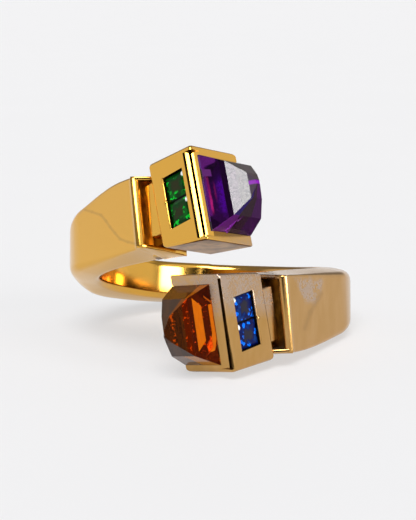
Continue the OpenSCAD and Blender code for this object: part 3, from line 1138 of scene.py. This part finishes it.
# %% paints of the purple stone
def amethyst_side(x, up, z, streaks, specks):
    rose = between(up + (streaks - 0.5) * 0.14, 0.26, 0.42, 0.05) * between(z, 1.3, 4.0, 0.4)
    rose = rose * (1.0 - z.spread(1.9, 3.3) * 0.65)
    thin = between(up + (streaks - 0.5) * 0.12, 0.70, 0.80, 0.04) * between(z, 2.1, 3.2, 0.4)
    blue = up.spread(0.65, 1.30) * (1.0 - up.spread(1.34, 1.40)) * between(z, 0.9, 3.7, 0.5)
    blue = blue * (0.55 + specks.spread(0.40, 0.60) * 0.45)
    dusk = between(z, 3.3, 4.7, 0.35) * up.spread(0.25, 0.45)
    return (0.012, 0.001, 0.022), [
        (specks.spread(0.5, 0.75) * 0.7, (0.04, 0.003, 0.07)),
        (blue, (0.048, 0.001, 0.20)),
        (dusk * 0.8, (0.005, 0.0006, 0.008)),
        (between(up, -1.0, 0.27, 0.03) * between(z, 1.0, 9.0, 0.1), (0.075, 0.007, 0.105)),
        (rose, (0.40, 0.012, 0.13)),
        (thin * 0.7, (0.17, 0.005, 0.06)),
        (between(z + up * 0.4, 4.10, 4.62, 0.05) * between(up, -1.0, 0.70, 0.05), (0.12, 0.022, 0.16)),
        (z.spread(4.66, 4.78) * (1.0 - up.spread(1.10, 1.18)), (0.075, 0.009, 0.10)),
        (up.spread(1.38, 1.42), (0.004, 0.0006, 0.006)),
        ((1.0 - z.spread(0.85, 1.0)) * (1.0 - up.spread(0.9, 1.2)), (0.012, 0.001, 0.02)),
    ]


# the grey specks are painted grain in the main facet's reflection
def amethyst_main(x, up, z, streaks, specks):
    return (0.012, 0.006, 0.012), [(specks.spread(0.42, 0.62), (0.085, 0.065, 0.065))]


def amethyst_low(x, up, z, streaks, specks):
    slope = x + up * 0.35
    return (0.035, 0.012, 0.030), [
        (1.0 - slope.spread(1.72, 1.76), (0.115, 0.016, 0.15)),
        ((1.0 - slope.spread(1.05, 1.40)) * streaks.spread(0.4, 0.6) * 0.7, (0.09, 0.008, 0.13)),
        (slope.spread(2.75, 2.80), (0.042, 0.007, 0.062)),
    ]


def amethyst_mid(x, up, z, streaks, specks):
    return (0.028, 0.012, 0.020), [
        (1.0 - (x - up * 0.5).spread(0.10, 0.16), (0.020, 0.006, 0.10)),
        ((x + up * 0.3).spread(2.80, 2.86), (0.045, 0.006, 0.06)),
    ]


# the grey-brown of these facets is a painted reflection of the room
def amethyst_high(x, up, z, streaks, specks):
    return (0.050, 0.037, 0.031), [(streaks.spread(0.4, 0.6) * 0.5, (0.030, 0.020, 0.028))]


# the magenta streak is a painted glint
def amethyst_tip(x, up, z, streaks, specks):
    return (0.020, 0.005, 0.024), [(between(z, 2.42, 2.70, 0.06), (0.20, 0.003, 0.34))]


print("purple paints ready")

# %% [markdown]
# ## The orange stone's facets
# Two bright orange bars, painted reflections of its back facets, cross its long
# side facet, with ends cut aslant by the corners of its foot, and red specks glow
# between them as painted light. The upper facets are painted smoky, as a painted
# reflection of the grey part of the room, and the lower and middle facets carry
# painted reflections too.

# %% paints of the orange stone
def citrine_side(x, up, z, streaks, specks):
    lean_low, lean_high = up * 1.15 + z, z - up * 0.95
    bar_one = between(up, 0.84, 1.45, 0.02) * lean_low.spread(2.20, 2.28)
    bar_one = bar_one * (1.0 - lean_high.spread(2.92, 3.00))
    aside = (z - 3.4).larger(0.0) * 0.3
    bar_two = between(up - aside, -0.10, 0.30, 0.02) * between(z, 1.36, 4.62, 0.03)
    corner = between(up, 0.06, 0.55, 0.02) * between(z + up * 1.1, 1.22, 1.36, 0.03)
    blob = between(up + (streaks - 0.5) * 0.5, 0.38, 0.80, 0.06) * between(z - up, 3.25, 3.95, 0.10)
    return (0.040, 0.003, 0.0), [
        (specks.spread(0.5, 0.7), (0.022, 0.0015, 0.0)),
        (specks.spread(0.62, 0.68) * between(z, 1.0, 4.5), (0.45, 0.03, 0.0)),
        (up.spread(1.68, 1.72), (0.045, 0.005, 0.001)),
        (bar_one, (0.54, 0.125, 0.003)),
        (bar_one * (streaks - 0.45).spread(0.0, 0.1) * 0.4, (0.42, 0.085, 0.003)),
        (bar_two, (0.52, 0.115, 0.003)),
        (corner, (0.34, 0.060, 0.003)),
        (blob, (0.30, 0.012, 0.0)),
        (blob * specks.spread(0.45, 0.6), (0.85, 0.07, 0.002)),
    ]


def citrine_main(x, up, z, streaks, specks):
    glow = between(up + (streaks - 0.5) * 0.4, 2.62, 2.84, 0.06)
    return (0.050, 0.012, 0.002), [
        (streaks.spread(0.5, 0.62) * 0.8, (0.028, 0.007, 0.002)),
        (1.0 - up.spread(2.08, 2.16), (0.055, 0.004, 0.0)),
        ((1.0 - up.spread(2.10, 2.2)) * specks.spread(0.60, 0.68), (0.40, 0.03, 0.0)),
        (glow * specks.spread(0.48, 0.60), (0.42, 0.05, 0.001)),
    ]


def citrine_low(x, up, z, streaks, specks):
    wedge = between(x + up * 0.12, 0.1, 1.22, 0.04)
    return (0.105, 0.034, 0.006), [
        ((streaks - 0.1).spread(0.3, 0.5) * 0.6, (0.065, 0.022, 0.005)),
        (wedge, (0.34, 0.088, 0.005)),
        (wedge * streaks.spread(0.5, 0.6) * 0.5, (0.20, 0.045, 0.004)),
    ]


def citrine_mid(x, up, z, streaks, specks):
    return (0.062, 0.036, 0.022), [(1.0 - (x - up * 0.4).spread(0.55, 0.7), (0.20, 0.055, 0.006))]


def citrine_high(x, up, z, streaks, specks):
    return (0.14, 0.085, 0.065), [(1.0 - (x + up * 0.1).spread(2.25, 2.32), (0.46, 0.16, 0.010))]


def citrine_top(x, up, z, streaks, specks):
    return (0.072, 0.038, 0.026), [(1.0 - (x - up * 0.3).spread(0.35, 0.45), (0.36, 0.12, 0.008))]


print("orange paints ready")

# %% [markdown]
# ## Which facet wears which finish
# The stack of rectangles numbers its faces step by step, four sides each, with
# the foot and the table last. So a facet is named by its step and its side, and
# a short table for each stone gives every facet its finish.

# %% tables of the facets
STEEP, MAIN, TIP = 4, 5, 6                       # steps of the tall stones' crown
ABOVE, END, BELOW, BAR = range(4)                # sides of a step
TABLE = (len(TALL_STEPS) - 1, 1)                 # the foot comes after the last step, then the table
AMETHYST_FACETS = [
    # finish, strength of its reflection, share of clear light, paint, faces as (step, side)
    ("amethyst_side", 0.08, 0.45, amethyst_side, [(STEEP, BAR)]),
    ("amethyst_main", 1.0, 0.60, amethyst_main, [(MAIN, BAR)]),
    ("amethyst_low", 0.15, 0.30, amethyst_low, [(STEEP, BELOW)]),
    ("amethyst_mid", 0.25, 0.30, amethyst_mid, [(MAIN, BELOW), (TIP, BELOW)]),
    ("amethyst_high", 0.40, 0.30, amethyst_high, [(MAIN, ABOVE), (STEEP, ABOVE), (TIP, ABOVE)]),
    ("amethyst_tip", 0.35, 0.30, amethyst_tip, [(TIP, BAR), TABLE]),
]
CITRINE_FACETS = [
    ("citrine_side", 0.06, 0.35, citrine_side, [(STEEP, BAR)]),
    ("citrine_main", 0.08, 0.30, citrine_main, [(MAIN, BAR), (TIP, BAR), TABLE]),
    ("citrine_low", 0.12, 0.30, citrine_low, [(STEEP, BELOW)]),
    ("citrine_mid", 0.25, 0.30, citrine_mid, [(MAIN, BELOW), (TIP, BELOW)]),
    ("citrine_high", 0.15, 0.30, citrine_high, [(STEEP, ABOVE)]),
    ("citrine_top", 0.22, 0.30, citrine_top, [(MAIN, ABOVE), (TIP, ABOVE)]),
]


def dress_facets(table, frame_at):
    """A dress for a tall stone: each facet's own finish over the plain one."""
    def dress(obj):
        for name, glint, clear, paint, faces in table:
            obj.data.materials.append(facet(name, frame_at, glint, clear, paint))
            for step, side in faces:
                obj.data.polygons[4 * step + side].material_index = len(obj.data.materials) - 1
    return dress


print("facet finishes:", len(AMETHYST_FACETS) + len(CITRINE_FACETS))

# %% [markdown]
# ## The square stones' finishes
# The square stones are small and deep, so they show a dark middle ringed by
# bright scattered flecks, and one white glint near the front edge; the dark
# middle is painted shade, the flecks and the glint are painted highlights. Their
# real facets would be smaller than a pixel. Both stones in a window repeat one
# pattern, measured from the middle of each stone.

# %% finishes of the square stones
def square_finish(name, frame_at, dark, bright, middle, glint_row):
    """One finish for both stones of a window; the painted glint lies at a height of its own."""
    mat, shader, where = new_material(name, Roughness=0.05, IOR=1.5)
    shader.inputs["Specular IOR Level"].default_value = 0.10
    x, up, z = local_mm(where, frame_at)
    x = x - (WIN_X + 0.5 * SQUARE_W)
    z = (z - WIN_Z).maths("MODULO", z - WIN_Z, SQUARE_W) - 0.5 * SQUARE_W
    blur = where.noise(1900.0, 3.0)
    cells = where.node("ShaderNodeTexVoronoi", {"voronoi_dimensions": "3D"}, out=1, Vector=where, Scale=4600.0)
    fleck = where.node("ShaderNodeSeparateColor", Color=cells)
    far = abs(x).larger(abs(z))
    spot = ((x + 0.78) * (x + 0.78) * 3.0 + (z - glint_row) * (z - glint_row)).power(0.5)
    ring = (far + (blur - 0.5) * 0.5).spread(0.30, 0.55) * (1.0 - far.spread(0.84, 0.92))
    layers = [
        (ring * blur.spread(0.48, 0.64), tuple(0.14 * c for c in bright)),
        (ring * fleck.spread(0.84, 0.90), tuple(0.8 * c for c in bright)),
        ((1.0 - (far + (blur - 0.5) * 0.9).spread(0.20, 0.55)) * 0.9, middle),
        (far.spread(0.84, 0.92), tuple(0.2 * c for c in dark)),
        (1.0 - spot.spread(0.10, 0.24), (0.75, 0.80, 0.80)),
    ]
    wire(mat, painted(where, dark, layers), shader.inputs["Base Color"])
    return mat


green_stone = square_finish("green_stone", laid @ left_frame, (0.001, 0.028, 0.003),
                            (0.0, 0.55, 0.03), (0.018, 0.018, 0.005), 0.66)
blue_stone = square_finish("blue_stone", laid @ half_turn @ left_frame, (0.001, 0.004, 0.055),
                           (0.0, 0.15, 0.90), (0.018, 0.016, 0.020), -0.70)
print("square stone finishes made")

# %% [markdown]
# ## Putting it together
# Each finished mesh is laid down on the table, told which solid of the part it
# stands for, and rides on the ring's one body. Rounded metal is shaded smooth,
# with sharp edges kept and large flat faces given more weight, so that they stay
# flat. The band is first: the rows inside its two lips are painted dark with shade.

# %% finish the band
SHARP_ANGLE = 38
FLAT_WEIGHT = 80


def finish(obj, node, slot, smooth=True):
    """Lay a piece down and say what it stands for."""
    obj.data.transform(laid)
    obj.data.update()
    for poly in obj.data.polygons:
        poly.use_smooth = smooth
    if smooth:
        mod = obj.modifiers.new("flat faces stay flat", "WEIGHTED_NORMAL")
        mod.keep_sharp, mod.weight = True, FLAT_WEIGHT
        obj.data.set_sharp_from_angle(angle=math.radians(SHARP_ANGLE))
        applied(obj)
    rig.ride(obj, "root")
    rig.replaces(obj, node)
    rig.slot(obj, slot)
    return obj


for metal in (gold, painted_line_shade, pocket_shade_gold):
    band.data.materials.append(metal)
lip_faces = 2 * len(all_rings[0])                # the two last rows of each lip face the pocket
faces = list(band.data.polygons)
last_rows, (lower_cap, upper_cap) = faces[-lip_faces - 2:-2], faces[-2:]
# painted shade: the lower lip's last rows and end as a dark line, the upper lip's in the pocket's shade
for face in faces[:lip_faces] + [lower_cap]:
    face.material_index = 1
for face in last_rows + [upper_cap]:
    face.material_index = 2
pieces = [finish(band, "gold_body", "gold")]
print("band finished, dull faces:", 2 * lip_faces + 2)

# %% [markdown]
# ## Twins
# Pieces that are alike on both arms are made by the twin tree in one go. The
# groove's floor and the inner strips lie in the pocket and wear its painted shade.

# %% pieces that come in pairs
firsts = [(strip, "inner_strips"), (neck, "necks"), (rim, "window_rims"), (claw, "claws")]
firsts += [(part, part.name + "s") for part in groove_parts]
for first, name in firsts:
    # the groove's floor and the strips wear the pocket's painted shade
    made = paired(first, name, pocket_shade_gold if name in ("groove_floors", "inner_strips") else gold)
    pieces.append(finish(made, "gold_body", "gold"))
    bpy.data.objects.remove(first)
print("paired pieces:", [name for _, name in firsts])


# %% [markdown]
# ## Painted shade inside the heads
# A head's seats, its fine dark lines and its face towards the other head are
# painted dark as shade. They could be pieces of their own, but they are faces of
# one solid, so each face gets its metal from its place in the head's small frames.

# %% faces of a head painted with shade
# the seat, the line and the face towards the other head wear painted shade
POLISHED, SEAT, LINE, FACING_TWIN_SHADE = range(4)            # materials of a head, in this order


def within(value, lo, hi, near=0.01):
    """Between two limits, or just past them."""
    return lo - near < value < hi + near


def shade_seats(lines, line_metal, side):
    """A dress for a head: painted shade behind the stones, in the fine lines and on the face towards the other head.
    """
    def dress(obj):
        for metal in (seat_shade, line_metal, between_heads_shade):
            obj.data.materials.append(metal)
        inward = -(side.to_3x3() @ under_normal)         # towards the other head
        for face in obj.data.polygons:
            seat, well, bar = ((side @ at_face).inverted() @ face.center
                               for at_face in (open_frame, left_frame, head_frame))
            seat_z = seat.z - CHEEK_RISE * seat.x
            in_seat = (0.12 < seat.y < SEAT_DEPTH + 0.01 and BAR_W - 0.01 < seat.x
                       and within(seat_z, CHEEK_LOW, HEAD_H - CHEEK_HIGH))
            in_well = (within(well.x, WIN_X, win_x) and within(well.z, WIN_Z, win_z)
                       and -WIN_DEPTH - 0.01 < well.y < -0.1)
            in_line = (bar.y < 0.7 and 0.40 < bar.z < HEAD_H - 0.21
                       and any(lo < bar.x < hi for lo, hi in lines))
            if in_seat or in_well:
                face.material_index = SEAT
            elif in_line:
                face.material_index = LINE
            # painted shade on the face towards the other head
            elif face.normal.dot(inward) > 0.97:
                face.material_index = FACING_TWIN_SHADE
        counts = [sum(f.material_index == k for f in obj.data.polygons) for k in (POLISHED, SEAT, LINE, FACING_TWIN_SHADE)]
        print("head faces in polished, seat, line and worn metal:", counts)
    return dress


print("head dress ready")

# %% [markdown]
# ## Single pieces
# The stones, the heads and the groove's upper walls differ from their twins, so
# each is finished alone. The twin tree turns the ones of the lower arm. For the
# upper arm its half turn is taken back, which leaves the piece where it was.

# %% stones, walls and heads
def single(obj, name, material, node, slot, turned_one, smooth=False, dress=None):
    """One piece alone, on the lower arm if it is the turned one."""
    made = paired(obj, name, material, keep_first=False)
    if not turned_one:
        made.data.transform(half_turn)
    if dress:
        dress(made)
    pieces.append(finish(made, node, slot, smooth))


single(talls[0], "amethyst_stone", amethyst, "amethyst", "amethyst", False,
       dress=dress_facets(AMETHYST_FACETS, AMETHYST_AT))
single(talls[1], "citrine_stone", citrine, "citrine", "citrine", True,
       dress=dress_facets(CITRINE_FACETS, CITRINE_AT))
single(squares[1], "upper_green_stone", green_stone, "upper_green", "green_stone", False)
single(squares[0], "lower_green_stone", green_stone, "lower_green", "green_stone", False)
single(squares[0], "upper_blue_stone", blue_stone, "upper_blue", "blue_stone", True)
single(squares[1], "lower_blue_stone", blue_stone, "lower_blue", "blue_stone", True)
single(high_walls[0], "upper_high_wall", gold, "gold_body", "gold", False, True)
single(high_walls[1], "lower_high_wall", gold, "gold_body", "gold", True, True)
single(heads[0], "upper_head", gold, "gold_body", "gold", False, True,
       shade_seats(PAINTED_SHADE_SPANS[0], painted_deep_shade, Matrix.Identity(4)))
single(heads[1], "lower_head", gold, "gold_body", "gold", True, True,
       shade_seats(PAINTED_SHADE_SPANS[1], painted_line_shade, half_turn))
for first in talls + squares + high_walls + heads:
    bpy.data.objects.remove(first)
print("pieces:", [p.name for p in pieces])

# %% [markdown]
# ## The table
# The photograph has a pale seamless table. A large plane with a faint grain
# stands for it. A little light of its own keeps it pale right up to the ring,
# as a lit table does, without brighter lamps that would burn out the gold.

# %% the floor
FLOOR_HALF = 3                                   # metres

floor_mesh = bpy.data.meshes.new("floor")
corners = [(x * FLOOR_HALF, y * FLOOR_HALF, 0) for x, y in ((-1, -1), (1, -1), (1, 1), (-1, 1))]
floor_mesh.from_pydata(corners, [], [(0, 1, 2, 3)])
floor = bpy.data.objects.new("floor", floor_mesh)
bpy.context.scene.collection.objects.link(floor)
floor_mat, floor_shader, floor_at = new_material("pale_table", Roughness=0.6)
floor_shader.inputs["Specular IOR Level"].default_value = 0.2
floor_tone = mixed(floor_at, floor_at.noise(40.0, 2.0), (0.252, 0.252, 0.254, 1), (0.262, 0.262, 0.264, 1))
wire(floor_mat, floor_tone, floor_shader.inputs["Base Color"])
floor_shader.inputs["Emission Color"].default_value = (1.0, 1.0, 1.012, 1)
floor_shader.inputs["Emission Strength"].default_value = 0.53
floor_mesh.materials.append(floor_mat)
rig.stage(floor)
print("table made")

# %% [markdown]
# ## The room
# Polished gold shows its surroundings more than itself, so the room matters as
# much as the metal. Lamps could be objects, but the room is easier to aim when
# it is drawn by direction in the world's own nodes: a pale band near the table's
# level, dim above it, wide soft panels on the left and right, a dark gap behind
# the camera, one strong overhead panel that draws the white lines on the edges
# and the grey glint on the purple stone, and one small lamp at the right.

# %% a panel seen in one direction
world = bpy.data.worlds.new("studio")
world.use_nodes = True
sky = world.node_tree.nodes["Background"]
look = world.node_tree.nodes.new("ShaderNodeTexCoord")
way = S(world.node_tree, look.outputs["Generated"])
height = way.node("ShaderNodeSeparateXYZ", out=2, Vector=way)


def towards(turn_deg, rise_deg):
    """A direction: turn from the camera's side to the right, and rise."""
    t, r = math.radians(turn_deg), math.radians(rise_deg)
    return (math.cos(r) * math.sin(t), -math.cos(r) * math.cos(t), math.sin(r))


def soft_panel(turn_deg, rise_deg, radius, edge):
    """1 inside a round panel seen in one direction, 0 outside it."""
    facing = way.node("ShaderNodeVectorMath", {"operation": "DOT_PRODUCT"}, out=1, i0=way,
                      i1=towards(turn_deg, rise_deg))
    return facing.spread(math.cos(math.radians(radius + edge)), math.cos(math.radians(radius - edge)))


print("towards the overhead panel:", [round(c, 2) for c in towards(-6, 54)])

# %% [markdown]
# Panels that overlap don't add up: the brighter one counts. Only the two lamps
# are added on top, because they stand in front of everything.

# %% the room's light
PALE, DIM = 0.887, 0.30
PANELS = [
    # turn, rise, radius, edge, brightness
    (-98, 12, 34, 9, 0.92),
    (112, 18, 26, 8, 0.88),
    (80, 4, 18, 6, 0.88),
    (44, 48, 24, 10, 0.95),
]
DARK_GAP = (0, 16, 22, 6, 0.96)
LAMPS = [(-6, 54, 17, 2, 11.0), (45, 14, 12, 2, 14.0)]

room = PALE - (PALE - DIM) * height.spread(0.06, 0.26)
for *panel, bright in PANELS:
    room = room.larger(soft_panel(*panel) * bright)
room = room * (1.0 - soft_panel(*DARK_GAP[:4]) * DARK_GAP[4])
for *lamp, bright in LAMPS:
    room = room + soft_panel(*lamp) * bright
wire(world, room, sky.inputs["Strength"])
sky.inputs["Color"].default_value = (1.0, 0.995, 1.0, 1)
bpy.context.scene.world = world
bpy.context.scene.view_settings.view_transform = "Standard"
print("panels and lamps:", len(PANELS), len(LAMPS))


# %% write the sizes and finish
def plain(box):
    """A box as plain lists of numbers."""
    return [[round(float(c), 6) for c in corner] for corner in box]


json.dump({"cad": plain(cad_box), "visual": plain(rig.bounds())}, open("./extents.json", "w"))
print(open("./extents.json").read())
